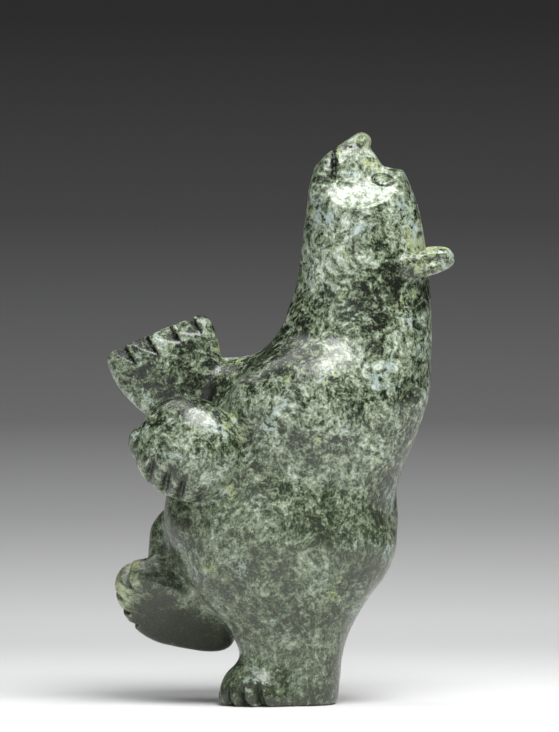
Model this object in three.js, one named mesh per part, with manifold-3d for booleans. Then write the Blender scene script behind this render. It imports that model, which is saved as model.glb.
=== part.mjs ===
// A dancing bear carved from one block of soapstone (serpentine), about 200 mm tall.
//
// The bear stands on its left foot with its head thrown back and its muzzle to the sky. Its right
// leg is lifted in front of it, its right paw is raised with the palm to the side, and its left paw
// hangs from the wrist. It faces -X, its left side is -Y, and it stands on z = 0.
//
// The rounded stone is one blended solid: a field gives the distance to its surface, a polygoniser
// walks that field, and the mesh is then simplified. The crisp work (the flat sole, the grooves
// between the claws and the mouth) is cut from it afterwards, as a carver would, with files.

import * as THREE from 'three';
import { mergeVertices } from 'three/addons/utils/BufferGeometryUtils.js';
import { SimplifyModifier } from 'three/addons/modifiers/SimplifyModifier.js';
import Module from 'manifold-3d';

// ---- Driving dimensions, mm ------------------------------------------------------------------

const GRID_STEP = 1.6;          // spacing of the polygoniser's grid
const TRIANGLES = 8400;         // triangles kept for the rounded stone, before the file cuts
const RELAX_PASSES = 4;         // rounds of evening out the triangles
const RELAXING = 0.5;           // part of the way a corner moves in each round
const CREASE_REACH = 0.8;       // distance over which a crease is felt
const SAME_SLOPE = 0.985;       // agreement of two slopes that are on one smooth face
const FLOOR_MARGIN = 5;         // stone below z = 0 that the flat sole cut takes away

// Level sections of leg, belly, chest, neck and head:
// height, front x, back x, centre y, half width, squareness (2 is an ellipse).
const TRUNK = [
  [-8, -12.0, 20.0, -6.0, 16.0, 2.4],
  [10, -13.0, 21.4, -6.0, 16.5, 2.4],     // ankle of the standing leg
  [20, -14.8, 22.8, -6.0, 17.5, 2.3],
  [28, -18.8, 25.8, -6.0, 19.5, 2.2],
  [36, -25.5, 30.0, -5.0, 22.5, 2.2],
  [46, -34.0, 37.2, -4.0, 26.0, 2.2],
  [56, -38.8, 40.6, -3.0, 29.0, 2.2],     // thigh and rump
  [66, -40.6, 39.8, -1.5, 31.5, 2.2],
  [78, -38.5, 42.0, 0.0, 32.5, 2.2],      // belly
  [92, -33.0, 46.6, 0.0, 32.0, 2.2],
  [106, -23.0, 51.6, 0.0, 31.0, 2.15],    // chest
  [117, -14.0, 53.4, 0.0, 28.0, 2.1],
  [128, -2.3, 53.6, 0.0, 24.0, 2.1],
  [141, 3.4, 53.4, 0.0, 21.0, 2.1],       // neck
  [155, 6.2, 52.2, 0.0, 19.3, 2.1],
  [168, 7.8, 50.2, 0.0, 18.6, 2.1],       // cheeks
  [178, 9.6, 47.4, 0.0, 18.4, 2.1],
  [188, 12.2, 43.6, 0.0, 18.2, 2.1],
  [200, 17.0, 39.0, 0.0, 18.0, 2.1],
];

// Head. The facets are the sloping cuts below the eyes, and the sockets hollow them.
const BROW = { point: [38, 0, 188.6], outward: [0.14, 0, 1] };
const FACET = { point: [30, -18.2, 176.0], outward: [-0.05, -0.68, 0.73] };
const MOUTH_SLOPE = { point: [20.3, 0, 196.2], outward: [-0.64, 0, 0.77] };
const BRIDGE = { point: [32.4, 0, 194.2], outward: [10.8, 0, 7.0] };
const THROAT = { point: [9.4, 0, 177.0], outward: [-17.3, 0, 4.9] };
const MUZZLE = { halfWidth: 13.4, frontX: 12, baseZ: 183, taperBack: 0.20, taperUp: 0.24, backX: 42 };
const NOSE = { centre: [28.1, 0, 196.8], radii: [3.3, 7.4, 3.3] };
const SOCKET = { centre: [30.5, -23, 189], radii: [22, 13.4, 13.4], along: [0.98, 0, 0.2] };
const EAR = { centre: [48.8, -13.5, 156], radii: [12.8, 6.3, 4.0], squareness: 2.8 };
const EAR_SCOOP = { centre: [54, -19.6, 156.6], radii: [7, 4, 4] };
const MOUTH = { x: 18.9, bottomZ: 183.5, width: 1.9, depth: 2.4 };

// Shoulders and arms
const LEFT_SHOULDER = { centre: [13, -18, 104], radii: [18, 15, 20] };
const RIGHT_SHOULDER = { centre: [14, 19, 104], radii: [17, 15, 19] };
const LEFT_ARM = { from: [12, -20, 101], to: [-18, -23, 96], radii: [15, 12.5] };
const RIGHT_ARM = { from: [12, 16, 106], to: [-26, 6, 108.8], radii: [15.5, 13] };

// Right paw: a flat paddle that widens from the wrist to the claws
const RAISED_PAW = {
  wrist: [-33.6, 3, 106], along: [-0.39, 0, 0.92], facing: [0, -1, 0.12], length: 26.4,
  wristHalfWidth: 13.2, clawHalfWidth: 21.2, wristHalfDepth: 8, clawHalfDepth: 5.5,
  crown: 0.01, edgeRadius: 3,
};

// Left paw: a rounded mitten, with the first toe lower on its front side
const HANGING_PAW = {
  centre: [-32, -27, 90], along: [-0.5, -0.1, -0.86], facing: [-0.08, -1, 0.12],
  radii: [18.6, 19.6, 12], squareness: 2.6,
};
const FIRST_TOE = { centre: [-46.6, -24, 93], radii: [6.2, 7, 7.8] };

// Lifted right leg, and its foot with the sole turned down and to the left side
const LEFT_HIP = { centre: [0, -14, 55], radii: [30, 19, 26] };
const RIGHT_THIGH = { from: [10, 15, 66], to: [-28, 13, 58], radii: [20, 15] };
const RIGHT_SHIN = { from: [-31, 13, 57], to: [-36, 10, 42], radii: [13.5, 11.5] };
const LIFTED_FOOT = {
  centre: [-36.6, 8, 34.6], along: [-0.93, -0.08, 0.34], facing: [0.05, -0.64, -0.77],
  halfLength: 23, toeHalfWidth: 15.5, heelHalfWidth: 12.5,
  toeHalfDepth: 5.8, heelHalfDepth: 8.2, squareness: 2.6, edgeRadius: 5,
};

// Standing left foot, turned out
const STANDING_FOOT = { centre: [-4, -9.5, 2], radii: [19.4, 14.6, 16.4], squareness: 2.3, turn: 40 };
const TAIL = { centre: [36.8, 0, 65.5], radii: [5, 7, 11.5] };

// Grooves filed between the claws: places across each paw, and the size of the file
const RAISED_CLAWS = { places: [-13.2, -4.6, 4.0, 12.4], length: 7.4, depth: 5.8, slant: 1.5 };
const HANGING_CLAWS = { places: [14.6, 7.6, 0.6, -6.4], start: 8.5, end: 17, depth: 10.4, slant: 0.7 };
const LIFTED_CLAWS = { places: [-10.2, -3.4, 3.4, 10.2], depth: 4.6 };
const STANDING_CLAWS = { angles: [-32, -11, 11, 32], top: 8, depth: 3.4 };

// ---- Vectors and fields ----------------------------------------------------------------------
// A field is a function of x, y and z that gives the distance to a surface, negative in the stone.

const clamp = THREE.MathUtils.clamp;
const vector = (values) => new THREE.Vector3(...values);
const mirrored = ([x, y, z]) => [x, -y, z];

// Axes of a limb: along it, across it, and out of the face that looks towards `facing`.
function limbAxes(along, facing) {
  const u = vector(along).normalize();
  const n = vector(facing);
  n.addScaledVector(u, -n.dot(u)).normalize();
  const v = new THREE.Vector3().crossVectors(n, u);
  return [u, v, n];
}

const WORLD_AXES = [vector([1, 0, 0]), vector([0, 1, 0]), vector([0, 0, 1])];

// Coordinates of a point along the given axes, measured from a centre.
function localise(centre, axes) {
  const [cx, cy, cz] = centre;
  return (x, y, z) => axes.map((a) => (x - cx) * a.x + (y - cy) * a.y + (z - cz) * a.z);
}

// Point at local coordinates (u, v, n).
function placeAt(centre, axes, [u, v, n]) {
  return vector(centre).addScaledVector(axes[0], u).addScaledVector(axes[1], v).addScaledVector(axes[2], n);
}

function smoothMin(a, b, radius) {
  const h = clamp(0.5 + 0.5 * (b - a) / radius, 0, 1);
  return b + (a - b) * h - radius * h * (1 - h);
}

const smoothMax = (a, b, radius) => -smoothMin(-a, -b, radius);

// Joins, keeps the common part, or removes, with a fillet of about the given radius.
const join = (radius, ...fields) => (x, y, z) => (
  fields.reduce((d, field) => smoothMin(d, field(x, y, z), radius), 1e3)
);
const common = (radius, ...fields) => (x, y, z) => (
  fields.reduce((d, field) => smoothMax(d, field(x, y, z), radius), -1e3)
);
const remove = (radius, base, tool) => (x, y, z) => smoothMax(base(x, y, z), -tool(x, y, z), radius);

// Everything on the inner side of a flat cut.
function flatCut({ point, outward }) {
  const n = vector(outward).normalize();
  const offset = n.dot(vector(point));
  return (x, y, z) => x * n.x + y * n.y + z * n.z - offset;
}

function egg({ centre, radii, along }) {
  const axes = along ? limbAxes(along, [0, Math.sign(centre[1]), 0.8]) : WORLD_AXES;
  const local = localise(centre, axes);
  return (x, y, z) => {
    const q = local(x, y, z);
    const k0 = Math.hypot(q[0] / radii[0], q[1] / radii[1], q[2] / radii[2]) + 1e-9;
    const k1 = Math.hypot(q[0] / radii[0] ** 2, q[1] / radii[1] ** 2, q[2] / radii[2] ** 2) + 1e-9;
    return k0 * (k0 - 1) / k1;
  };
}

// A tapering limb with round ends.
function limb({ from, to, radii }) {
  const start = vector(from);
  const bone = vector(to).sub(start);
  const point = new THREE.Vector3();
  return (x, y, z) => {
    point.set(x, y, z).sub(start);
    const t = clamp(point.dot(bone) / bone.lengthSq(), 0, 1);
    return point.addScaledVector(bone, -t).length() - THREE.MathUtils.lerp(radii[0], radii[1], t);
  };
}

// A rounded pad: squarish outline in its first two axes, elliptical through the third.
function pad(centre, radii, axes, squareness) {
  const local = localise(centre, axes);
  return (x, y, z) => {
    const q = local(x, y, z);
    const outline = Math.abs(q[0] / radii[0]) ** squareness + Math.abs(q[1] / radii[1]) ** squareness;
    const r = Math.sqrt(outline ** (2 / squareness) + (q[2] / radii[2]) ** 2);
    if (r < 0.1) return -Math.min(...radii);
    return Math.hypot(...q) * (1 - 1 / r);
  };
}

// The trunk: level sections joined by a smooth curve through their sizes.
function trunk(sections) {
  const heights = sections.map((row) => row[0]);
  const sizes = sections.flatMap((row) => row.slice(1));
  const curve = new THREE.CubicInterpolant(heights, sizes, 5);
  return (x, y, z) => {
    const [front, back, centreY, halfWidth, squareness] = curve.evaluate(z);
    const dx = x - (front + back) / 2;
    const dy = y - centreY;
    const halfDepth = (back - front) / 2;
    const sum = Math.abs(dx / halfDepth) ** squareness + Math.abs(dy / halfWidth) ** squareness;
    const r = sum ** (1 / squareness);
    if (r < 0.05) return -Math.min(halfDepth, halfWidth);
    return Math.hypot(dx, dy) * (1 - 1 / r);
  };
}

// ---- Parts of the bear -----------------------------------------------------------------------

function muzzle() {
  const endAndBridge = common(2.5, flatCut(MOUTH_SLOPE), flatCut(BRIDGE));
  const throat = flatCut(THROAT);
  return (x, y, z) => {
    const rise = clamp(z - MUZZLE.baseZ, -8, 30);
    const halfWidth = MUZZLE.halfWidth - MUZZLE.taperBack * (x - MUZZLE.frontX) - MUZZLE.taperUp * rise;
    let d = smoothMax(endAndBridge(x, y, z), Math.abs(y) - halfWidth, 5);
    d = smoothMax(d, throat(x, y, z), 9);
    d = smoothMax(d, x - MUZZLE.backX, 2);
    return smoothMax(d, MUZZLE.baseZ - 7 - z, 6);
  };
}

function ear(side) {
  const [cx, cy, cz] = EAR.centre;
  const axes = limbAxes([1, 0, 0.04], [0, -side, 0.25]);
  const leaf = pad([cx, cy * side, cz], EAR.radii, axes, EAR.squareness);
  const [sx, sy, sz] = EAR_SCOOP.centre;
  return remove(1.2, leaf, egg({ centre: [sx, sy * side, sz], radii: EAR_SCOOP.radii }));
}

function head(body) {
  const farFacet = { point: mirrored(FACET.point), outward: mirrored(FACET.outward) };
  const farSocket = { ...SOCKET, centre: mirrored(SOCKET.centre) };
  const facets = common(1.5, flatCut(FACET), flatCut(farFacet), flatCut(BROW));
  const cheeks = common(3.5, common(1, body, facets), flatCut(MOUTH_SLOPE));
  const face = join(0.3, join(1.2, cheeks, muzzle()), egg(NOSE));
  const sockets = remove(0.6, remove(0.6, face, egg(SOCKET)), egg(farSocket));
  return join(2, sockets, ear(1), ear(-1));
}

const raisedAxes = limbAxes(RAISED_PAW.along, RAISED_PAW.facing);

// Half depth of the raised paw at a place u along it and v across it.
function raisedHalfDepth(u, v) {
  const t = clamp(u / RAISED_PAW.length, -0.3, 1.1);
  return THREE.MathUtils.lerp(RAISED_PAW.wristHalfDepth, RAISED_PAW.clawHalfDepth, t) - RAISED_PAW.crown * v * v;
}

function raisedPaw() {
  const { wrist, length, wristHalfWidth, clawHalfWidth, edgeRadius } = RAISED_PAW;
  const local = localise(wrist, raisedAxes);
  return (x, y, z) => {
    const [u, v, n] = local(x, y, z);
    const halfWidth = THREE.MathUtils.lerp(wristHalfWidth, clawHalfWidth, clamp(u / length, -0.3, 1.1));
    const sides = smoothMax(Math.abs(v) - halfWidth, Math.abs(n) - raisedHalfDepth(u, v), edgeRadius);
    const ends = smoothMax(u - length, -u - 8, edgeRadius);
    return smoothMax(sides, ends, edgeRadius);
  };
}

const hangingAxes = limbAxes(HANGING_PAW.along, HANGING_PAW.facing);

function hangingPaw() {
  const { centre, radii, squareness } = HANGING_PAW;
  return join(2.5, pad(centre, radii, hangingAxes, squareness), egg(FIRST_TOE));
}

const liftedAxes = limbAxes(LIFTED_FOOT.along, LIFTED_FOOT.facing);

function liftedFoot() {
  const foot = LIFTED_FOOT;
  const local = localise(foot.centre, liftedAxes);
  return (x, y, z) => {
    const [u, v, n] = local(x, y, z);
    const t = clamp(u / foot.halfLength, -1, 1) / 2 + 0.5;
    const halfWidth = THREE.MathUtils.lerp(foot.heelHalfWidth, foot.toeHalfWidth, t);
    const halfDepth = THREE.MathUtils.lerp(foot.heelHalfDepth, foot.toeHalfDepth, t);
    const sum = Math.abs(u / foot.halfLength) ** foot.squareness + Math.abs(v / halfWidth) ** foot.squareness;
    const r = Math.max(sum ** (1 / foot.squareness), 0.1);
    return smoothMax(Math.hypot(u, v) * (1 - 1 / r), Math.abs(n) - halfDepth, foot.edgeRadius);
  };
}

function turnedAxes(degrees) {
  const turn = THREE.MathUtils.degToRad(degrees);
  const forward = vector([-Math.cos(turn), -Math.sin(turn), 0]);
  const across = vector([Math.sin(turn), -Math.cos(turn), 0]);
  return [forward, across, WORLD_AXES[2]];
}

const standingAxes = turnedAxes(STANDING_FOOT.turn);

function standingFoot() {
  return pad(STANDING_FOOT.centre, STANDING_FOOT.radii, standingAxes, STANDING_FOOT.squareness);
}

function bear() {
  let stone = head(trunk(TRUNK));
  stone = join(12, stone, egg(LEFT_SHOULDER), egg(RIGHT_SHOULDER));
  stone = join(8, stone, limb(LEFT_ARM), limb(RIGHT_ARM));
  stone = join(3, stone, raisedPaw(), hangingPaw());
  stone = join(10, stone, egg(LEFT_HIP));
  const liftedLeg = join(5, join(6, limb(RIGHT_THIGH), limb(RIGHT_SHIN)), liftedFoot());
  stone = join(4, stone, liftedLeg, standingFoot());
  stone = join(2, stone, egg(TAIL));
  return common(1, stone, flatCut({ point: [0, 0, -FLOOR_MARGIN], outward: [0, 0, -1] }));
}

// ---- From field to mesh ----------------------------------------------------------------------

// Surface nets: one vertex in each grid cell that the surface crosses, moved onto the surface,
// and one quad around each grid edge that it crosses.
function polygonise(field, box, step) {
  const counts = box.getSize(new THREE.Vector3()).divideScalar(step).toArray().map((n) => Math.ceil(n) + 1);
  const [nx, ny, nz] = counts;
  const strides = [1, nx, nx * ny];
  const values = new Float32Array(nx * ny * nz);
  for (let k = 0, at = 0; k < nz; k += 1) {
    for (let j = 0; j < ny; j += 1) {
      for (let i = 0; i < nx; i += 1, at += 1) {
        values[at] = field(box.min.x + i * step, box.min.y + j * step, box.min.z + k * step);
      }
    }
  }

  const corners = [];
  for (let c = 0; c < 8; c += 1) corners.push([c & 1, (c >> 1) & 1, c >> 2]);
  const vertexOfCell = new Map();
  const positions = [];
  const point = new THREE.Vector3();
  for (let k = 0; k < nz - 1; k += 1) {
    for (let j = 0; j < ny - 1; j += 1) {
      for (let i = 0; i < nx - 1; i += 1) {
        const cell = i + j * strides[1] + k * strides[2];
        const inside = corners.filter(([a, b, c]) => values[cell + a + b * strides[1] + c * strides[2]] < 0);
        if (inside.length === 0 || inside.length === 8) continue;
        point.set(i + 0.5, j + 0.5, k + 0.5).multiplyScalar(step).add(box.min);
        settle(point, field, step);
        vertexOfCell.set(cell, positions.length / 3);
        positions.push(point.x, point.y, point.z);
      }
    }
  }

  const index = [];
  for (let k = 1; k < nz - 1; k += 1) {
    for (let j = 1; j < ny - 1; j += 1) {
      for (let i = 1; i < nx - 1; i += 1) {
        const cell = i + j * strides[1] + k * strides[2];
        for (let axis = 0; axis < 3; axis += 1) {
          const entering = values[cell] < 0;
          if (entering === values[cell + strides[axis]] < 0) continue;
          const p = strides[(axis + 1) % 3];
          const q = strides[(axis + 2) % 3];
          const quad = [cell - p - q, cell - q, cell, cell - p].map((c) => vertexOfCell.get(c));
          if (!entering) quad.reverse();
          index.push(quad[0], quad[1], quad[2], quad[0], quad[2], quad[3]);
        }
      }
    }
  }

  const geometry = new THREE.BufferGeometry();
  geometry.setAttribute('position', new THREE.Float32BufferAttribute(positions, 3));
  geometry.setIndex(index);
  return geometry;
}

// Slope of a field at a point, taken over a small distance h each way.
function slopeAt(field, { x, y, z }, h) {
  return new THREE.Vector3(
    field(x + h, y, z) - field(x - h, y, z),
    field(x, y + h, z) - field(x, y - h, z),
    field(x, y, z + h) - field(x, y, z - h),
  ).divideScalar(2 * h);
}

// Moves a point onto the surface along the field's slope, but not out of its own cell.
function settle(point, field, step) {
  const low = point.clone().subScalar(step * 0.49);
  const high = point.clone().addScalar(step * 0.49);
  for (let pass = 0; pass < 4; pass += 1) {
    const slope = slopeAt(field, point, step * 0.1);
    point.addScaledVector(slope, -field(point.x, point.y, point.z) / Math.max(slope.lengthSq(), 0.1));
    point.clamp(low, high);
  }
}

async function simplify(geometry, triangles) {
  const vertices = geometry.getAttribute('position').count;
  const kept = Math.round(triangles / 2) + 2;
  return new SimplifyModifier().modify(geometry, vertices - kept);
}

// The same triangles on shared corners, with nothing but their positions.
function shared(geometry) {
  const bare = geometry.clone();
  bare.deleteAttribute('normal');
  bare.deleteAttribute('uv');
  return mergeVertices(bare, 1e-4);
}

// Evens out the triangles: each corner moves part of the way to the middle of its neighbours and
// back onto the surface, but stays where that would take it off a crease.
function relax(geometry, field, passes) {
  const relaxed = shared(geometry);
  const position = relaxed.getAttribute('position');
  const index = relaxed.getIndex().array;
  const neighbours = Array.from({ length: position.count }, () => new Set());
  for (let corner = 0; corner < index.length; corner += 1) {
    const next = corner % 3 === 2 ? corner - 2 : corner + 1;
    neighbours[index[corner]].add(index[next]);
    neighbours[index[next]].add(index[corner]);
  }
  const point = new THREE.Vector3();
  const neighbour = new THREE.Vector3();
  const middle = new THREE.Vector3();
  for (let pass = 0; pass < passes; pass += 1) {
    neighbours.forEach((ring, i) => {
      middle.set(0, 0, 0);
      ring.forEach((j) => middle.add(neighbour.fromBufferAttribute(position, j)));
      point.fromBufferAttribute(position, i);
      const moved = point.clone().lerp(middle.divideScalar(ring.size), RELAXING);
      settle(moved, field, GRID_STEP);
      const before = slopeAt(field, point, CREASE_REACH).normalize();
      const after = slopeAt(field, moved, CREASE_REACH).normalize();
      if (before.dot(after) > SAME_SLOPE) position.setXYZ(i, moved.x, moved.y, moved.z);
    });
  }
  return relaxed;
}

// ---- Cutting with files ----------------------------------------------------------------------

const wasm = await Module();
wasm.setup();

function toSolid(geometry) {
  const merged = shared(geometry);
  const mesh = new wasm.Mesh({
    numProp: 3,
    vertProperties: new Float32Array(merged.getAttribute('position').array),
    triVerts: new Uint32Array(merged.getIndex().array),
  });
  return new wasm.Manifold(mesh);
}

function toGeometry(solid) {
  const mesh = solid.getMesh();
  const geometry = new THREE.BufferGeometry();
  geometry.setAttribute('position', new THREE.Float32BufferAttribute(mesh.vertProperties, 3));
  geometry.setIndex(new THREE.Uint32BufferAttribute(mesh.triVerts, 1));
  return geometry;
}

// The groove that a three-cornered file leaves: a prism whose sharp edge runs from start to end,
// and which opens outwards to a half width at a height above that edge.
function fileCut(start, end, outward, halfWidth, height) {
  const along = end.clone().sub(start);
  const length = along.length();
  along.normalize();
  const out = outward.clone().addScaledVector(along, -outward.dot(along)).normalize();
  const across = new THREE.Vector3().crossVectors(out, along);
  const triangle = new THREE.Shape([
    new THREE.Vector2(0, 0),
    new THREE.Vector2(halfWidth, height),
    new THREE.Vector2(-halfWidth, height),
  ]);
  const prism = new THREE.ExtrudeGeometry(triangle, { depth: length, bevelEnabled: false });
  const placed = new THREE.Matrix4().makeBasis(across, out, along).setPosition(start);
  return prism.applyMatrix4(placed);
}

function raisedClawCuts() {
  const { places, length, depth, slant } = RAISED_CLAWS;
  const start = RAISED_PAW.length - length;
  return places.flatMap((v) => [1, -1].map((side) => {
    const surface = raisedHalfDepth(start, v);
    const tip = placeAt(RAISED_PAW.wrist, raisedAxes, [start, v - slant, side * surface]);
    const edge = placeAt(RAISED_PAW.wrist, raisedAxes, [RAISED_PAW.length + 1.5, v, side * (surface - depth)]);
    return fileCut(tip, edge, raisedAxes[2].clone().multiplyScalar(side), 3.2, 6);
  }));
}

function hangingClawCuts() {
  const { centre, radii, squareness } = HANGING_PAW;
  const { places, start, end, depth, slant } = HANGING_CLAWS;
  return places.map((v) => {
    const outline = Math.abs(start / radii[0]) ** squareness + Math.abs(v / radii[1]) ** squareness;
    const surface = radii[2] * Math.sqrt(Math.max(1 - outline ** (2 / squareness), 0));
    const tip = placeAt(centre, hangingAxes, [start, v - slant, surface]);
    const edge = placeAt(centre, hangingAxes, [end, v + slant, surface - depth]);
    return fileCut(tip, edge, hangingAxes[2], 4.2, 9);
  });
}

function liftedClawCuts() {
  const { halfLength, toeHalfWidth, squareness, centre } = LIFTED_FOOT;
  return LIFTED_CLAWS.places.map((v) => {
    const reach = halfLength * (1 - Math.abs(v / toeHalfWidth) ** squareness) ** (1 / squareness);
    const top = placeAt(centre, liftedAxes, [reach - 1.5, v, -9]);
    const bottom = placeAt(centre, liftedAxes, [reach - LIFTED_CLAWS.depth, v * 0.95, 9]);
    return fileCut(top, bottom, liftedAxes[0], 3.2, 8);
  });
}

function standingClawCuts() {
  const [forward, across] = standingAxes;
  const [halfLength, halfWidth] = STANDING_FOOT.radii;
  return STANDING_CLAWS.angles.map((degrees) => {
    const angle = THREE.MathUtils.degToRad(degrees);
    const out = forward.clone().multiplyScalar(Math.cos(angle)).addScaledVector(across, Math.sin(angle));
    const reach = 1 / Math.hypot(Math.cos(angle) / halfLength, Math.sin(angle) / halfWidth);
    const base = vector(STANDING_FOOT.centre).setZ(0);
    const top = base.clone().addScaledVector(out, reach + 0.2).setZ(STANDING_CLAWS.top);
    const bottom = base.clone().addScaledVector(out, reach - STANDING_CLAWS.depth).setZ(-2);
    return fileCut(top, bottom, out, 3, 6);
  });
}

// The mouth is one filed line: down each side of the muzzle, and across its sloping end.
function mouthCuts() {
  const { x, bottomZ, width, depth } = MOUTH;
  const slope = MOUTH_SLOPE.outward[0] / MOUTH_SLOPE.outward[2];
  const endZ = MOUTH_SLOPE.point[2] - slope * (x - MOUTH_SLOPE.point[0]);
  const halfWidthAt = (z) => (
    MUZZLE.halfWidth - MUZZLE.taperBack * (x - MUZZLE.frontX) - MUZZLE.taperUp * (z - MUZZLE.baseZ)
  );
  const cuts = [-1, 1].map((side) => {
    const top = vector([x, side * (halfWidthAt(endZ) - depth - 1), endZ + 2]);
    const bottom = vector([x, side * (halfWidthAt(bottomZ) + 0.2), bottomZ]);
    return fileCut(top, bottom, vector([0, side, 0]), width, 2 * depth);
  });
  const across = [-1, 1].map((side) => vector([x, side * 12, endZ - depth * 0.7]));
  cuts.push(fileCut(across[0], across[1], vector([0, 0, 1]), width, 2 * depth));
  return cuts;
}

function floorBlock() {
  const depth = 3 * FLOOR_MARGIN;
  return new THREE.BoxGeometry(200, 200, depth).translate(0, 0, -depth / 2);
}

// ---- The carving -----------------------------------------------------------------------------

async function carvedBear() {
  const block = new THREE.Box3(vector([-66, -46, -FLOOR_MARGIN - 2 * GRID_STEP]), vector([66, 46, 204]));
  const stone = bear();
  const simple = await simplify(polygonise(stone, block, GRID_STEP), TRIANGLES);
  const rounded = relax(simple, stone, RELAX_PASSES);
  const cuts = [
    floorBlock(),
    ...raisedClawCuts(),
    ...hangingClawCuts(),
    ...liftedClawCuts(),
    ...standingClawCuts(),
    ...mouthCuts(),
  ];
  let solid = toSolid(rounded);
  for (const cut of cuts) solid = solid.subtract(toSolid(cut));
  const geometry = toGeometry(solid);
  geometry.computeVertexNormals();
  return geometry;
}

const polishedSerpentine = new THREE.MeshStandardMaterial({
  color: 0x6c8064,
  roughness: 0.3,
  metalness: 0,
});

const carving = new THREE.Mesh(await carvedBear(), polishedSerpentine);
carving.name = 'bear';

const object = new THREE.Group();
object.add(carving);

export default object;
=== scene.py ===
"""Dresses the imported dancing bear: one carving of polished serpentine, on a studio stage.

The stone follows the blended form of the solid in the frame, with some of its sizes refined, on a
finer grid and with the work that the solid leaves out: filed grooves with soft edges, the engraved
eyes and the slightly uneven faces that hand rasping leaves. Lengths of the carving are in
millimetres and are scaled to the frame's height. Everything handed to Blender is in metres.
"""

import math

import bmesh
import bpy
import numpy as np
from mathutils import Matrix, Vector, noise


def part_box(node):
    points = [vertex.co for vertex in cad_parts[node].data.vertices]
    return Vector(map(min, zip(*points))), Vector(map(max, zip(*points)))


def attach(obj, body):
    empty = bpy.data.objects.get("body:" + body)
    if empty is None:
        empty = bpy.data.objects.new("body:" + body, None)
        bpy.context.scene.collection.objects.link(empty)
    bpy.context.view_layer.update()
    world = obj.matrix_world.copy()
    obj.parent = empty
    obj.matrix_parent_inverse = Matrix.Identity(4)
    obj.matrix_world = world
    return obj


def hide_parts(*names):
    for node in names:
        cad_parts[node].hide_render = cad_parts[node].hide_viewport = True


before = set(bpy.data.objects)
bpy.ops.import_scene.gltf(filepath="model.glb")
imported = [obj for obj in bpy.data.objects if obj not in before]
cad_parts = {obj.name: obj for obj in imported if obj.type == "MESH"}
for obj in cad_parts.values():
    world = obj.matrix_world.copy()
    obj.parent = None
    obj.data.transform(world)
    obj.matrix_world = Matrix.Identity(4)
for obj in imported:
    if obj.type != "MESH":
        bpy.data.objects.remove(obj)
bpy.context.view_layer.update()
BEAR_LOW, BEAR_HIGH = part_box("bear")

bl_info = {
    "name": "Soapstone bear carving",
    "version": (1, 0, 0),
    "blender": (4, 5, 0),
    "location": "3D View > Sidebar > Bear carving",
    "description": "Carves the dancing bear in polished serpentine and sets its stage",
    "category": "Object",
}

HEIGHT = 201.0                                # height that the sizes below add up to
MM = (BEAR_HIGH.z - BEAR_LOW.z) / HEIGHT      # metres for one millimetre of those sizes


# ---- Sizes of the carving, mm ----------------------------------------------------------------

# Level sections of leg, belly, chest, neck and head:
# height, front x, back x, centre y, half width, squareness (2 is an ellipse).
TRUNK = [
    (-8, -12.0, 20.0, -6.0, 16.0, 2.4),
    (10, -13.0, 21.4, -6.0, 16.5, 2.4),      # ankle of the standing leg
    (20, -14.8, 22.8, -6.0, 17.5, 2.3),
    (28, -18.8, 25.8, -6.0, 19.5, 2.2),
    (36, -25.5, 30.6, -5.0, 22.5, 2.2),
    (46, -34.0, 37.9, -4.0, 26.0, 2.2),
    (56, -38.8, 41.2, -3.0, 29.0, 2.2),      # thigh and rump
    (66, -40.6, 39.8, -1.5, 31.5, 2.2),
    (78, -38.5, 42.0, 0.0, 32.5, 2.2),       # belly
    (92, -33.0, 47.2, 0.0, 32.0, 2.2),
    (106, -23.0, 52.2, 0.0, 31.0, 2.15),     # chest
    (117, -14.0, 53.4, 0.0, 28.0, 2.1),
    (128, -2.3, 53.6, 0.0, 24.0, 2.1),
    (141, 4.1, 53.4, 0.0, 21.0, 2.1),        # neck
    (155, 7.0, 52.2, 0.0, 19.3, 2.1),
    (168, 8.6, 50.3, 0.0, 18.6, 2.1),        # cheeks
    (178, 10.2, 47.7, 0.0, 18.4, 2.1),
    (188, 12.2, 43.6, 0.0, 18.2, 2.1),
    (200, 17.0, 39.0, 0.0, 18.0, 2.1),
]

# Below, a flat cut is a point on it and the way it faces, an egg is a centre and three radii, and
# a limb is its two ends and the radius at each. What comes in pairs is given for the left side.
BROW = ((38, 0, 188.6), (0.14, 0, 1))
FACET = ((30, -18.4, 176.6), (-0.05, -0.64, 0.77))
MOUTH_SLOPE = ((20.3, 0, 196.0), (-0.56, 0, 0.83))
BRIDGE = ((32.6, 0, 194.6), (10.8, 0, 7.0))
THROAT = ((9.4, 0, 177.0), (-17.3, 0, 4.9))
NOSE = ((28.9, 0, 197.6), (3.4, 7.4, 3.4))
MUZZLE_ROOT = (12, 183, 13.4)         # x, height and half width
MUZZLE_TAPER = (0.20, 0.24)           # half width lost for each mm back and each mm up
MUZZLE_BACK = 42
MUZZLE_FLOOR = 176
MOUTH_LINE = (19.2, 183)              # x of the line, and height of its low ends
MOUTH_HALF_WIDTH = 12                 # of the line across the sloping end
SOCKET = ((31, -21.3, 186.6), (20, 11.4, 11.4))
SOCKET_ALONG = (0.96, 0, 0.28)
EAR = ((49.2, -13.5, 154.8), (12.4, 4.6, 4.0))
EAR_RISE = 0.22
EAR_SQUARENESS = 2.8
EAR_SCOOP = ((55.2, -19.6, 156.2), (6.2, 4, 3.1))
EYE = (36.4, 184.3)                   # x and height
EYE_HALF = (3.5, 1.95)
EYE_TILT = math.radians(-10)
EYE_LINE_DEPTH = 0.45
EYE_LINE_WIDTH = 0.16                 # as a share of the eye's half size

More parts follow.
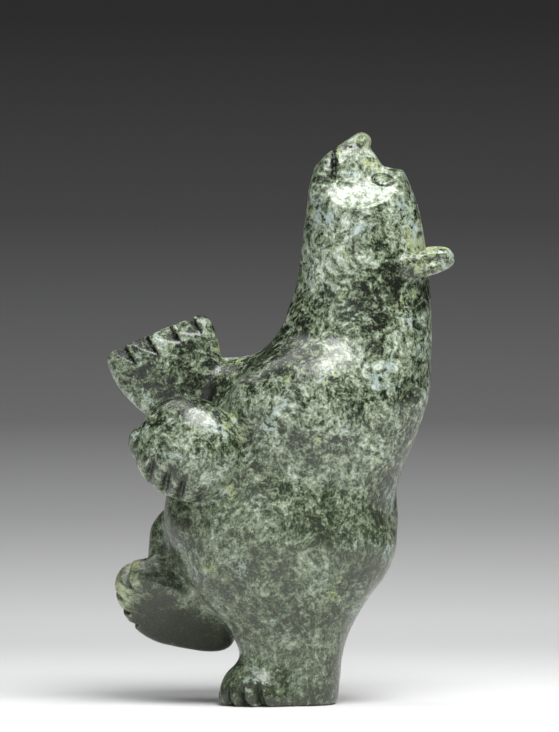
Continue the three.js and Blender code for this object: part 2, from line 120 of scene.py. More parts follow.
LEFT_SHOULDER = ((8, -18.5, 103), (17, 15, 18))
RIGHT_SHOULDER = ((14, 19, 104), (17, 15, 19))
LEFT_ARM = ((13, -17, 112), (-7, -23, 107), 14, 9.5)
RIGHT_ARM = ((12, 16, 106), (-19, 8, 108.4), 15.5, 13)
HANGING_PAW = ((-31.6, -26.5, 90.6), (18.0, 18.6, 12.5))
HANGING_SQUARENESS = 2.3
FIRST_TOE = ((-47.2, -24, 92.4), (5.8, 6.6, 6.4))
RAISED_WRIST = (-33.6, 3, 106)
RAISED_LENGTH = 26.4
RAISED_HEEL = 8                       # how far the paw runs back past the wrist
RAISED_WIDTH = (13.6, 16.6, 10.9)     # half width at the wrist, its swelling and its narrowing
RAISED_DEPTH = (8, 2.5, 0.01)         # half depth, what it loses to the claws, and its crowning

LEFT_HIP = ((0, -14, 55), (30, 19, 26))
RIGHT_THIGH = ((10, 15, 66), (-28, 13, 56.4), 20, 15)
RIGHT_SHIN = ((-32, 13, 55), (-36.4, 10, 42), 14, 11.5)
LIFTED_FOOT = (-36.6, 8, 34.6)
LIFTED_HALF_LENGTH = 23
LIFTED_FAR_WIDTH = (16.3, 0.3)        # half width, and what it gains for each mm forward
LIFTED_NEAR_WIDTH = (14, 0.065)
LIFTED_THICKNESS = (7, 1.2)           # half thickness, and what it loses to the toes
LIFTED_SQUARENESS = 2.6
TOE_SLANT = 0.5                       # mm that the toes fall back for each mm across
STANDING_FOOT = (-3.4, -9.5, 2)
STANDING_RADII = (19.4, 14.6, 16.4)
STANDING_TURN = math.radians(40)
STANDING_SQUARENESS = 2.3
TAIL = ((36.8, 0, 65.5), (5, 7, 11.5))

# Places of the claw cuts, in mm across a paw or in degrees round a foot, and for each set of cuts
# the half width and depth of the file.
RAISED_CLAWS = (-13.6, -5.6, 3.8, 12.2)
HANGING_CLAWS = (12.6, 5.4, -0.8, -7.6)
LIFTED_CLAWS = (-20, 5, 27, 50)
STANDING_CLAWS = (-30, -3, 16, 36)
RAISED_FILE = (4.2, 6.5)
HANGING_FILE = (6.2, 9)
LIFTED_FILE = (4.6, 9)
STANDING_FILE = (2.8, 5.5)
MOUTH_FILE = (2.0, 6)


# ---- Fields ----------------------------------------------------------------------------------
# A field gives the distance from points (x, y, z) to a surface, negative inside the stone.

def unit(vector):
    vector = np.asarray(vector, float)
    return vector / np.linalg.norm(vector)


def smooth_min(a, b, radius):
    """The lower of two fields, with a fillet of about radius where they meet."""
    h = np.clip(0.5 + 0.5 * (b - a) / radius, 0, 1)
    return b + (a - b) * h - radius * h * (1 - h)


def smooth_max(a, b, radius):
    return -smooth_min(-a, -b, radius)


def ramp(value, start, end):
    """0 at start and 1 at end, straight between them and level beyond."""
    return np.clip((value - start) / (end - start), 0, 1)


def limb_axes(along, facing):
    """Axes of a limb: along it, across it, and out of the face that looks towards facing."""
    u = unit(along)
    facing = np.asarray(facing, float)
    n = unit(facing - facing.dot(u) * u)
    return u, np.cross(n, u), n


WORLD_AXES = np.eye(3)


def localise(p, centre, axes):
    offset = [a - c for a, c in zip(p, centre)]
    return [sum(o * float(k) for o, k in zip(offset, axis)) for axis in axes]


def place_at(centre, axes, local):
    return np.asarray(centre, float) + sum(np.asarray(a) * c for a, c in zip(axes, local))


def on_side(point, side):
    """A point given for the left side: itself where side is -1, its mirror image where side is 1."""
    return (point[0], -point[1] * side, point[2])


def flat_cut(p, point, outward):
    n = unit(outward)
    return sum((a - c) * float(k) for a, c, k in zip(p, point, n))


def egg(p, centre, radii, axes=WORLD_AXES):
    q = localise(p, centre, axes)
    k0 = np.sqrt(sum((a / r) ** 2 for a, r in zip(q, radii))) + 1e-6
    k1 = np.sqrt(sum((a / r ** 2) ** 2 for a, r in zip(q, radii))) + 1e-6
    return k0 * (k0 - 1) / k1


def limb(p, start, end, start_radius, end_radius):
    bone = np.subtract(end, start).astype(float)
    offset = [a - c for a, c in zip(p, start)]
    t = np.clip(sum(o * b for o, b in zip(offset, bone)) / bone.dot(bone), 0, 1)
    gap = np.sqrt(sum((o - t * b) ** 2 for o, b in zip(offset, bone)))
    return gap - start_radius - (end_radius - start_radius) * t


def pad(p, centre, radii, axes, squareness):
    """A rounded pad: squarish outline in its first two axes, elliptical through the third."""
    q = localise(p, centre, axes)
    outline = sum(np.abs(a / r) ** squareness for a, r in zip(q[:2], radii))
    r = np.sqrt(outline ** (2 / squareness) + (q[2] / radii[2]) ** 2)
    length = np.sqrt(sum(a * a for a in q))
    return np.where(r < 0.1, -min(radii), length * (1 - 1 / np.maximum(r, 0.1)))


def trunk(p):
    """Level sections joined by a smooth curve through their sizes."""
    x, y, z = p
    rows = np.array(TRUNK, float)
    heights, sizes = rows[:, 0], rows[:, 1:]
    slopes = np.gradient(sizes, axis=0) / np.gradient(heights)[:, None]
    z = np.clip(z, heights[0], heights[-1])
    i = np.clip(np.searchsorted(heights, z, side="right") - 1, 0, len(heights) - 2)
    gap = (heights[1:] - heights[:-1])[i]
    t = (z - heights[i]) / gap
    weights = (2 * t**3 - 3 * t**2 + 1, t**3 - 2 * t**2 + t, 3 * t**2 - 2 * t**3, t**3 - t**2)
    front, back, centre_y, half_width, squareness = (
        weights[0] * sizes[i, c] + weights[1] * slopes[i, c] * gap
        + weights[2] * sizes[i + 1, c] + weights[3] * slopes[i + 1, c] * gap
        for c in range(5)
    )
    dx = x - (front + back) / 2
    dy = y - centre_y
    half_depth = (back - front) / 2
    r = np.abs(dx / half_depth) ** squareness + np.abs(dy / half_width) ** squareness
    r = r ** (1 / squareness)
    outside = np.hypot(dx, dy) * (1 - 1 / np.maximum(r, 0.05))
    return np.where(r < 0.05, -np.minimum(half_depth, half_width), outside)


# ---- Parts of the bear -----------------------------------------------------------------------

def muzzle_half_width(x, z):
    root_x, root_z, half_width = MUZZLE_ROOT
    loss_back, loss_up = MUZZLE_TAPER
    return half_width - loss_back * (x - root_x) - loss_up * np.clip(z - root_z, -8, 30)


def muzzle(p):
    x, y, z = p
    d = smooth_max(flat_cut(p, *MOUTH_SLOPE), flat_cut(p, *BRIDGE), 2.5)
    d = smooth_max(d, np.abs(y) - muzzle_half_width(x, z), 5)
    d = smooth_max(d, flat_cut(p, *THROAT), 4)
    d = smooth_max(d, x - MUZZLE_BACK, 2)
    return smooth_max(d, MUZZLE_FLOOR - z, 6)


def ear(p, side):
    centre, radii = EAR
    axes = limb_axes((1, 0, EAR_RISE), (0, -side, 0.25))
    leaf = pad(p, on_side(centre, side), radii, axes, EAR_SQUARENESS)
    scoop_centre, scoop_radii = EAR_SCOOP
    return smooth_max(leaf, -egg(p, on_side(scoop_centre, side), scoop_radii), 1.2)


def socket(p, side):
    """The egg that hollows the facet below an eye."""
    centre, radii = SOCKET
    return egg(p, on_side(centre, side), radii, limb_axes(SOCKET_ALONG, (0, side, 0.8)))


def head(p, body):
    left, right = (flat_cut(p, *(on_side(vector, side) for vector in FACET)) for side in (-1, 1))
    facets = smooth_max(smooth_max(left, right, 1.5), flat_cut(p, *BROW), 1.5)
    cheeks = smooth_max(smooth_max(body, facets, 1), flat_cut(p, *MOUTH_SLOPE), 3.5)
    d = smooth_min(smooth_min(cheeks, muzzle(p), 1.2), egg(p, *NOSE), 0.3)
    for side in (-1, 1):
        d = smooth_max(d, -socket(p, side), 0.6)
    for side in (-1, 1):
        d = smooth_min(d, ear(p, side), 2)
    return d


RAISED_AXES = limb_axes((-0.39, 0, 0.92), (0, -1, 0.12))
HANGING_AXES = limb_axes((-0.5, -0.1, -0.86), (-0.08, -1, 0.12))
LIFTED_AXES = limb_axes((-0.93, -0.08, 0.34), (0.05, -0.64, -0.77))
STANDING_AXES = (
    np.array((-math.cos(STANDING_TURN), -math.sin(STANDING_TURN), 0)),
    np.array((math.sin(STANDING_TURN), -math.cos(STANDING_TURN), 0)),
    WORLD_AXES[2],
)


def share_of_paw(u):
    """How far along the raised paw: 0 at the wrist and 1 at the claws, and a little beyond each."""
    return np.clip(u / RAISED_LENGTH, -0.3, 1.1)


def raised_half_depth(u, v):
    half_depth, loss, crowning = RAISED_DEPTH
    return half_depth - loss * share_of_paw(u) - crowning * v * v


def raised_paw(p):
    u, v, n = localise(p, RAISED_WRIST, RAISED_AXES)
    t = share_of_paw(u)
    wrist, swelling, narrowing = RAISED_WIDTH
    half_width = wrist + swelling * t - narrowing * t * t
    outline = smooth_max(np.abs(v) - half_width, np.maximum(u - RAISED_LENGTH, -u - RAISED_HEEL), 5)
    return smooth_max(outline, np.abs(n) - raised_half_depth(u, v), 3)


def hanging_paw(p):
    centre, radii = HANGING_PAW
    back_of_paw = pad(p, centre, radii, HANGING_AXES, HANGING_SQUARENESS)
    return smooth_min(back_of_paw, egg(p, *FIRST_TOE), 1.2)


def toe_reach(u, v):
    """Length along the lifted foot, measured square to its toes, which slant back on the far side."""
    return u + TOE_SLANT * np.maximum(v, 0)


def lifted_outline(u, v):
    """1 on the edge of the lifted foot, less inside it."""
    reach = np.clip(toe_reach(u, v), -LIFTED_HALF_LENGTH, 1.5 * LIFTED_HALF_LENGTH)
    far, near = (width + gain * reach for width, gain in (LIFTED_FAR_WIDTH, LIFTED_NEAR_WIDTH))
    across = np.abs(v / np.where(v > 0, far, near)) ** LIFTED_SQUARENESS
    return (np.abs(reach / LIFTED_HALF_LENGTH) ** LIFTED_SQUARENESS + across) ** (1 / LIFTED_SQUARENESS)


def lifted_foot(p):
    u, v, n = localise(p, LIFTED_FOOT, LIFTED_AXES)
    t = np.clip(u / LIFTED_HALF_LENGTH, -1, 1)
    r = np.maximum(lifted_outline(u, v), 0.1)
    half_thickness, loss = LIFTED_THICKNESS
    return smooth_max(np.hypot(u, v) * (1 - 1 / r), np.abs(n) - half_thickness + loss * t, 5)


def file_cut(p, start, end, outward, half_width, height):
    """The groove of a three-cornered file: its sharp edge runs from start to end."""
    along = np.subtract(end, start).astype(float)
    length = np.linalg.norm(along)
    axes = limb_axes(along, outward)
    u, v, n = localise(p, start, axes)
    slope = half_width / height
    flank = (np.abs(v) - slope * n) / math.hypot(1, slope)
    return np.maximum(np.maximum(flank, n - height), np.maximum(-u, u - length))


# Each cut is where the file's edge starts and ends, the way the groove opens, and the file's size.
# A claw's groove starts shallow on the paw and runs out deep through its rim.

def raised_claw_cuts():
    start, end, lean, depth = RAISED_LENGTH - 7.6, RAISED_LENGTH + 1.5, 1.8, 6.6
    for v in RAISED_CLAWS:
        for side in (1, -1):
            surface = raised_half_depth(start, v)
            tip = place_at(RAISED_WRIST, RAISED_AXES, (start, v - lean, side * surface))
            edge = place_at(RAISED_WRIST, RAISED_AXES, (end, v, side * (surface - depth)))
            yield tip, edge, RAISED_AXES[1] * 0.45 + RAISED_AXES[2] * side, *RAISED_FILE


def hanging_claw_cuts():
    centre, radii = HANGING_PAW
    start, end, lean, depth = 8.6, 17.2, 0.7, 11
    power = HANGING_SQUARENESS
    for v in HANGING_CLAWS:
        outline = abs(start / radii[0]) ** power + abs(v / radii[1]) ** power
        surface = radii[2] * math.sqrt(max(1 - outline ** (2 / power), 0))
        tip = place_at(centre, HANGING_AXES, (start, v - lean, surface))
        edge = place_at(centre, HANGING_AXES, (end, v + lean, surface - depth))
        yield tip, edge, HANGING_AXES[2], *HANGING_FILE


def lifted_claw_cuts():
    """Grooves across the thick rim of the lifted foot, whose edge is found by stepping out to it."""
    rim = ((3.2, -9), (5.4, 9))      # depth of the groove over the instep, and under the sole
    for degrees in LIFTED_CLAWS:
        forward, across = math.cos(math.radians(degrees)), math.sin(math.radians(degrees))
        reach = LIFTED_HALF_LENGTH
        for _ in range(12):
            reach /= lifted_outline(reach * forward, reach * across)
        top, bottom = (
            place_at(LIFTED_FOOT, LIFTED_AXES, ((reach - depth) * forward, (reach - depth) * across, n))
            for depth, n in rim
        )
        yield top, bottom, LIFTED_AXES[0] * forward + LIFTED_AXES[1] * across, *LIFTED_FILE


def standing_claw_cuts():
    forward, across, _ = STANDING_AXES
    base = np.array((STANDING_FOOT[0], STANDING_FOOT[1], 0.0))
    lean = math.radians(7)
    top_depth, top_z, bottom_depth, bottom_z = 1.4, 8.5, 4.4, -2
    for degrees in STANDING_CLAWS:
        angle = math.radians(degrees)
        out = forward * math.cos(angle) + across * math.sin(angle)
        turned = forward * math.cos(angle + lean) + across * math.sin(angle + lean)
        reach = 1 / math.hypot(math.cos(angle) / STANDING_RADII[0], math.sin(angle) / STANDING_RADII[1])
        top = base + out * (reach - top_depth) + (0, 0, top_z)
        bottom = base + turned * (reach - bottom_depth) + (0, 0, bottom_z)
        yield top, bottom, out, *STANDING_FILE


def mouth_cuts():
    """One filed line: down each side of the muzzle, and across its sloping end."""
    x, bottom_z = MOUTH_LINE
    point, outward = MOUTH_SLOPE
    end_z = point[2] - outward[0] / outward[2] * (x - point[0])
    top_depth, bottom_depth, end_depth = 4.4, 1.8, 1.8
    for side in (-1, 1):
        top = (x, side * (muzzle_half_width(x, end_z) - top_depth), end_z + 2)
        bottom = (x, side * (muzzle_half_width(x, bottom_z) - bottom_depth), bottom_z)
        yield top, bottom, (0, side, 0), *MOUTH_FILE
    left, right = ((x, y, end_z - end_depth) for y in (-MOUTH_HALF_WIDTH, MOUTH_HALF_WIDTH))
    yield left, right, (0, 0, 1), *MOUTH_FILE


def stone(p):
    """The whole carving, with the fillets of its joins, before the filed grooves."""
    d = head(p, trunk(p))
    for centre, radii in (LEFT_SHOULDER, RIGHT_SHOULDER):
        d = smooth_min(d, egg(p, centre, radii), 12)
    for arm in (LEFT_ARM, RIGHT_ARM):
        d = smooth_min(d, limb(p, *arm), 8)
    d = smooth_min(smooth_min(d, raised_paw(p), 2), hanging_paw(p), 2)
    d = smooth_min(d, egg(p, *LEFT_HIP), 10)
    leg = smooth_min(limb(p, *RIGHT_THIGH), limb(p, *RIGHT_SHIN), 6)
    d = smooth_min(d, smooth_min(leg, lifted_foot(p), 5), 4)
    d = smooth_min(d, pad(p, STANDING_FOOT, STANDING_RADII, STANDING_AXES, STANDING_SQUARENESS), 4)
    return smooth_min(d, egg(p, *TAIL), 2)


def grooves():
    for cuts in (raised_claw_cuts, hanging_claw_cuts, lifted_claw_cuts, standing_claw_cuts, mouth_cuts):
        yield from cuts()


def engraved_eye(p):
    """Depth of the almond line cut around each eye, seen from the side of the head."""
    x, y, z = p
    along = (x - EYE[0]) * math.cos(EYE_TILT) + (z - EYE[1]) * math.sin(EYE_TILT)
    across = (z - EYE[1]) * math.cos(EYE_TILT) - (x - EYE[0]) * math.sin(EYE_TILT)
    r = np.sqrt((along / EYE_HALF[0]) ** 2 + (across / EYE_HALF[1]) ** 2)
    line = EYE_LINE_DEPTH * np.exp(-((r - 1) / EYE_LINE_WIDTH) ** 2)
    return np.where(np.abs(y) > 4, line, 0)


def carved(p):
    """The carving with its grooves and eyes. Its sole is cut a little low, and laid level later."""
    d = stone(p)
    for cut in grooves():
        d = smooth_max(d, -file_cut(p, *cut), 0.5)
    d = d + engraved_eye(p)
    return smooth_max(d, -p[2] - 0.5, 4)


# ---- From field to mesh ----------------------------------------------------------------------

SLAB = 24            # grid layers worked out at a time
SETTLE_PASSES = 4


def slope_at(field, points, h):
    """Slope of a field at an array of points, taken over a small distance h each way."""
    slope = np.empty_like(points)
    for axis in range(3):
        ahead = [points[:, k] + (h if k == axis else 0) for k in range(3)]
        behind = [points[:, k] - (h if k == axis else 0) for k in range(3)]
        slope[:, axis] = (field(ahead) - field(behind)) / (2 * h)
    return slope


def settle(field, points, reach, passes=SETTLE_PASSES):
    """Moves points onto the surface along its slope, but no further than reach from where they are."""
    start = points.copy()
    for _ in range(passes):
        slope = slope_at(field, points, 0.1)
        square = np.maximum((slope**2).sum(axis=1), 0.1)
        points = points - slope * (field(points.T) / square)[:, None]
        points = np.clip(points, start - reach, start + reach)
    return points


def surface_net(field, low, high, step):
    """One corner in each grid cell that the surface crosses, and a quad round each crossed edge."""
    counts = np.ceil((high - low) / step).astype(int) + 1
    xs, ys, zs = (low[k] + step * np.arange(counts[k]) for k in range(3))
    values = np.empty(counts, np.float32)
    for k in range(0, counts[2], SLAB):
        grid = np.meshgrid(xs, ys, zs[k:k + SLAB], indexing="ij")
        values[:, :, k:k + SLAB] = field([a.astype(np.float32) for a in grid])
    inside = values < 0
    corners = np.zeros(counts - 1, np.int8)
    for a in (0, 1):
        for b in (0, 1):
            for c in (0, 1):
                corners += inside[a:counts[0] - 1 + a, b:counts[1] - 1 + b, c:counts[2] - 1 + c]
    crossed = (corners > 0) & (corners < 8)
    cells = np.argwhere(crossed)
    number = np.zeros(crossed.shape, np.int64)
    number[crossed] = np.arange(len(cells))
    points = settle(field, low + (cells + 0.5) * step, step * 0.49)

    quads = []
    for axis in range(3):
        start = np.take(inside, range(counts[axis] - 1), axis)
        end = np.take(inside, range(1, counts[axis]), axis)
        edges = np.argwhere(start != end)
        entering = start[tuple(edges.T)]
        p = np.eye(3, dtype=int)[(axis + 1) % 3]
        q = np.eye(3, dtype=int)[(axis + 2) % 3]
        ring = [number[tuple((edges - shift).T)] for shift in (p + q, q, 0 * p, p)]
        quad = np.stack(ring, axis=1)
        quad[~entering] = quad[~entering, ::-1]
        quads.append(quad)
    return points, np.concatenate(quads)


def refine(field, mesh, centres, radius, rounds):
    """Splits the faces round each centre and lays the new corners on the surface."""
    edit = bmesh.new()
    edit.from_mesh(mesh)
    for size in range(rounds):
        reach = radius * (1 - 0.2 * size)
        near = [f for f in edit.faces if any((f.calc_center_median() - c).length < reach for c in centres)]
        edges = list({edge for face in near for edge in face.edges})
        bmesh.ops.subdivide_edges(edit, edges=edges, cuts=1, use_grid_fill=True)
        moved = list({vert for face in edit.faces for vert in face.verts
                      if any((vert.co - c).length < reach + 2 for c in centres)})
        points = settle(field, np.array([v.co for v in moved]), 0.4)
        for vert, point in zip(moved, points):
            vert.co = point
    edit.to_mesh(mesh)
    edit.free()


def uneven(points, settings):
    """The slight waves that hand rasping leaves, which die out at the flat sole."""
    normals = slope_at(carved, points, 0.4)
    normals /= np.linalg.norm(normals, axis=1)[:, None]
    waves = np.array([noise.fractal(Vector(p) / settings.wave_length, 1.0, 2.0, 2) for p in points])
    fade = ramp(points[:, 2], 0, 4)
    return points + normals * (waves * fade * settings.wave_height)[:, None]


def eye_centres():
    """Points on the stone at the middle of each eye."""
    x, z = EYE
    found = []
    for side in (-1, 1):
        ys = side * np.linspace(24, 4, 200)
        depth = stone([np.full(200, x), ys, np.full(200, z)])
        found.append(Vector((x, ys[np.argmax(depth < 0)], z)))
    return found


def groove_shade_amount(points):
    """1 in the filed grooves and the engraved eye lines and 0 elsewhere, for the painted shade in them."""
    gap = np.full(len(points), 10.0)
    for cut in grooves():
        gap = np.minimum(gap, file_cut(points.T, *cut))
    return np.maximum(ramp(gap, 0.6, 0), engraved_eye(points.T) / EYE_LINE_DEPTH)


def facet_highlight_amount(points):
    """1 on the hollowed facets below the eyes, most along their lower edges, for the painted highlight
    there.
    """
    x, y, z = points.T
    facets = np.maximum(*(ramp(np.abs(socket(points.T, side)), 0.5, 0) for side in (-1, 1)))
    return facets * ramp(z - 0.32 * (x - 20), 183.5, 178.5)


def shade_and_seam_amount(points):
    """1 where shade is painted, partly over a darker patch of the stone: the raised palm, and more so the
    sole of the lifted foot.
    """
    u, v, n = localise(points.T, RAISED_WRIST, RAISED_AXES)
    palm = ramp(n, 1, 4) * ramp(u, RAISED_LENGTH - 4, RAISED_LENGTH - 10) * ramp(u, -6, 0) * ramp(v, 19, 3)
    u, v, n = localise(points.T, LIFTED_FOOT, LIFTED_AXES)
    sole = ramp(n, -1, 3) * ramp(u, 16, 8) * ramp(v, -12, -2)
    near = ramp(np.abs(n), 20, 14) * ramp(np.hypot(u, v), 26, 22)
    return np.clip(0.5 * palm + sole * near, 0, 1)


def yellow_amount(points):
    """1 in the yellow green seams of the block: both ears, the nose and the toes of the lifted foot."""
    x, y, z = points.T
    ears = ramp(x, 42, 48) * ramp(z, 146, 150) * ramp(z, 166, 162)
    u, v, n = localise(points.T, LIFTED_FOOT, LIFTED_AXES)
    toes = ramp(toe_reach(u, v), 14, 19) * ramp(np.abs(n), 12, 8) * (z < 60)
    nose = ramp(egg(points.T, *NOSE), 0.6, 0)
    return np.clip(ears + 0.8 * toes + 0.7 * nose, 0, 1)


MARKS = {
    # the filed grooves and eye lines, darkened with painted shade
    "filed": groove_shade_amount,
    # the facets below the eyes, lightened with a painted highlight
    "polished": facet_highlight_amount,
    # painted shade on the raised palm and the lifted sole, partly over a darker patch of the stone
    "shade_and_dark_seam": shade_and_seam_amount,
    "yellow_seam": yellow_amount,
}


def mark(mesh, name, amounts):
    layer = mesh.attributes.new(name, "FLOAT", "POINT")
    layer.data.foreach_set("value", amounts.astype(np.float32))


def carve_bear(settings):
    """The stone's mesh in metres, marked where shade and a highlight are painted on and where its seams
    run.
    """
    low = np.array(BEAR_LOW) / MM - 2 * settings.grid
    high = np.array(BEAR_HIGH) / MM + 2 * settings.grid
    points, quads = surface_net(carved, low, high, settings.grid)
    mesh = bpy.data.meshes.new("bear_stone")
    mesh.from_pydata(points.tolist(), [], quads.tolist())
    refine(carved, mesh, eye_centres(), radius=6.0, rounds=2)
    points = np.array([v.co for v in mesh.vertices])
    for name, amount in MARKS.items():
        mark(mesh, name, amount(points))
    points = uneven(points, settings)
    points = np.clip(points * MM, BEAR_LOW, BEAR_HIGH)
    mesh.vertices.foreach_set("co", points.ravel())
    mesh.shade_smooth()
    mesh.update()
    return mesh


# ---- Colours and nodes -----------------------------------------------------------------------

def linear(code):
    """Linear colour of an sRGB hex value."""
    channels = [int(code[i:i + 2], 16) / 255 for i in (1, 3, 5)]
    return tuple(c / 12.92 if c <= 0.04045 else ((c + 0.055) / 1.055) ** 2.4 for c in channels)


def add(tree, kind, sockets=None, **settings):
    """Adds a node, gives it its settings, and sets or links its sockets."""
    node = tree.nodes.new(kind)
    for name, value in settings.items():
        setattr(node, name, value)
    for name, value in (sockets or {}).items():
        if isinstance(value, bpy.types.NodeSocket):
            tree.links.new(value, node.inputs[name])
        else:
            node.inputs[name].default_value = value
    return node


def new_material(name):
    material = bpy.data.materials.new(name)
    material.use_nodes = True
    material.node_tree.nodes.clear()
    return material


def set_ramp(node, stops):
    ramp = node.color_ramp
    while len(ramp.elements) < len(stops):
        ramp.elements.new(0.5)
    for element, (place, colour) in zip(ramp.elements, stops):
        element.position = place
        element.color = (*colour, 1)


# Cloudy noises of the stone: the size of the largest lumps in mm, detail, roughness, and a shift
# that keeps one from lining up with another. All but the grit follow the sheared rock.
STONE_NOISES = {
    "cloud": (15.0, 3.0, 0.6, 20.0),
    "grains": (2.7, 5.0, 0.66, 31.0),
    "grit": (0.8, 2.0, 0.6, 50.0),
    "webs": (5.0, 3.0, 0.55, 61.0),
    "fine_webs": (1.9, 3.0, 0.55, 73.0),
    "yellow_green": (9.0, 3.0, 0.5, 40.0),
    "blue_grey": (12.0, 3.0, 0.5, 90.0),
}
# Noises that shear the rock: size of the lumps and reach of the pull in mm, and a shift.
SHEARS = ((14.0, 9.0, 3.0), (2.6, 1.6, 11.0))

# What adds up to the tone, which runs from 0 for a black grain to 1 for a pale web: each value, the
# two ends of its range, and what it adds at each of them. A web is where its noise is near its middle.
TONE_TERMS = (
    ("cloud", 0.3, 0.7, 0.04, 0.50),
    ("grit", 0.25, 0.75, -0.20, 0.20),
    ("webs", 0.0, 0.07, 0.18, 0.0),
    ("fine_webs", 0.0, 0.10, 0.18, 0.0),
    # painted shade on the raised palm and the lifted sole, partly over a darker patch of the stone
    ("shade_and_dark_seam", 0.0, 1.0, 0.0, -0.46),
    ("yellow_seam", 0.0, 1.0, 0.0, 0.26),
    # painted highlight along the facets below the eyes
    ("polished", 0.0, 1.0, 0.0, 0.26),
    ("level", 60, 130, -0.10, 0.08),
    # painted shade in the filed grooves and eye lines
    ("filed", 0.0, 1.0, 0.0, -0.30),
)
# Tints of the webs: the colour, its noise's value where a patch starts, and its share of the seams.
TINTS = (("yellow_green", 0.60, 0.5), ("blue_grey", 0.56, 0.0))

SANDING_MARK = (0.35, 0.5, 7)         # width, depth and length of the last sanding marks, mm
SPAN = ("From Min", "From Max", "To Min", "To Max")


def stone_values(tree):
    """The noises, marks and height in mm that the stone's tone and colour are made from."""
    place = add(tree, "ShaderNodeTexCoord").outputs["Object"]
    mm = add(tree, "ShaderNodeVectorMath", {0: place, 3: 1 / MM}, operation="SCALE").outputs[0]
    drawn = mm
    for size, reach, shift in SHEARS:
        moved = add(tree, "ShaderNodeVectorMath", {0: drawn, 1: (shift, shift, shift)}).outputs[0]
        drift = add(tree, "ShaderNodeTexNoise", {"Vector": moved, "Scale": 1 / size, "Detail": 2.0})
        centred = add(tree, "ShaderNodeVectorMath", {0: drift.outputs["Color"], 1: (0.5, 0.5, 0.5)},
                      operation="SUBTRACT").outputs[0]
        pull = add(tree, "ShaderNodeVectorMath", {0: centred, 3: reach}, operation="SCALE").outputs[0]
        drawn = add(tree, "ShaderNodeVectorMath", {0: drawn, 1: pull}).outputs[0]

    values = {"mm": mm, "level": add(tree, "ShaderNodeSeparateXYZ", {"Vector": mm}).outputs["Z"]}
    for name, (size, detail, roughness, shift) in STONE_NOISES.items():
        vector = mm if name == "grit" else drawn
        moved = add(tree, "ShaderNodeVectorMath", {0: vector, 1: (shift, shift, shift)}).outputs[0]
        values[name] = add(tree, "ShaderNodeTexNoise", {
            "Vector": moved, "Scale": 1 / size, "Detail": detail, "Roughness": roughness,
        }).outputs["Fac"]
    for name in ("webs", "fine_webs"):
        off_middle = add(tree, "ShaderNodeMath", {0: values[name], 1: 0.5}, operation="SUBTRACT")
        gap = add(tree, "ShaderNodeMath", {0: off_middle.outputs[0]}, operation="ABSOLUTE")
        values[name] = gap.outputs[0]
    for name in MARKS:
        values[name] = add(tree, "ShaderNodeAttribute", attribute_name=name).outputs["Fac"]
    return values


def stone_tone(tree, values):
    """Adds up the tone: the grains, stronger up the body, and then every other term."""
    figure, strength = (
        add(tree, "ShaderNodeMapRange", {"Value": values[name], **dict(zip(SPAN, span))}).outputs[0]
        for name, span in (("grains", (0.25, 0.75, -0.52, 0.50)), ("level", (60, 105, 0.78, 1.0)))
    )
    tone = add(tree, "ShaderNodeMath", {0: figure, 1: strength}, operation="MULTIPLY").outputs[0]
    for name, *span in TONE_TERMS:
        term = add(tree, "ShaderNodeMapRange", {"Value": values[name], **dict(zip(SPAN, span))})
        tone = add(tree, "ShaderNodeMath", {0: tone, 1: term.outputs[0]}, operation="ADD").outputs[0]
    return tone


def stone_colour(tree, values, tone, colours):
    by_tone = add(tree, "ShaderNodeValToRGB", {"Fac": tone})
    set_ramp(by_tone, [
        (0.00, colours.black_grain),
        (0.16, colours.dark_green),
        (0.36, colours.mid_green),
        (0.62, colours.grey_green),
        (0.88, colours.mint_web),
    ])

    # The lower body runs to olive, with less difference between grain and web.
    span = (55, 100, 0.24, 0.0)
    olive = add(tree, "ShaderNodeMapRange", {"Value": values["level"], **dict(zip(SPAN, span))})
    colour = add(tree, "ShaderNodeMix", {
        "Factor": olive.outputs[0], 6: by_tone.outputs["Color"], 7: (*colours.olive, 1),
    }, data_type="RGBA").outputs[2]

    # Yellow green and blue grey patches tint the pale webs.
    span = (0.35, 0.7, 0.0, 1.0)
    pale = add(tree, "ShaderNodeMapRange", {"Value": tone, **dict(zip(SPAN, span))}).outputs[0]
    for name, start, seam_share in TINTS:
        span = (start, start + 0.1, 0.0, 0.75)
        patch = add(tree, "ShaderNodeMapRange", {"Value": values[name], **dict(zip(SPAN, span))})
        amount = add(tree, "ShaderNodeMath", {
            0: values["yellow_seam"], 1: seam_share, 2: patch.outputs[0],
        }, operation="MULTIPLY_ADD").outputs[0]
        amount = add(tree, "ShaderNodeMath", {0: amount, 1: pale}, operation="MULTIPLY").outputs[0]
        colour = add(tree, "ShaderNodeMix", {
            "Factor": amount, 6: colour, 7: (*getattr(colours, name), 1),
        }, data_type="RGBA").outputs[2]
    return colour


def sanded_gloss(tree, values, tone):
    """Bump and roughness: grit and long sanding marks under wax, which is duller on the pale webs."""
    scale = [1 / size for size in SANDING_MARK]
    place = add(tree, "ShaderNodeMapping", {"Vector": values["mm"], "Scale": scale}).outputs[0]
    sanding = add(tree, "ShaderNodeTexNoise", {"Vector": place, "Scale": 1.0, "Detail": 2.0}).outputs["Fac"]
    grit_height, sanding_height, sanding_roughness, tone_roughness = (
        add(tree, "ShaderNodeMapRange", {"Value": value, **dict(zip(SPAN, span))}).outputs[0]
        for value, span in (
            (values["grit"], (0.3, 0.7, 0.0, 0.012)), (sanding, (0.3, 0.7, 0.0, 0.03)),
            (sanding, (0.3, 0.7, 0.22, 0.36)), (tone, (0.0, 0.8, -0.04, 0.05)),
        )
    )
    height = add(tree, "ShaderNodeMath", {0: grit_height, 1: sanding_height}, operation="ADD").outputs[0]
    roughness = add(tree, "ShaderNodeMath", {
        0: sanding_roughness, 1: tone_roughness,
    }, operation="ADD").outputs[0]
    bump = add(tree, "ShaderNodeBump", {"Height": height, "Distance": MM, "Strength": 1.0})
    return bump.outputs["Normal"], roughness


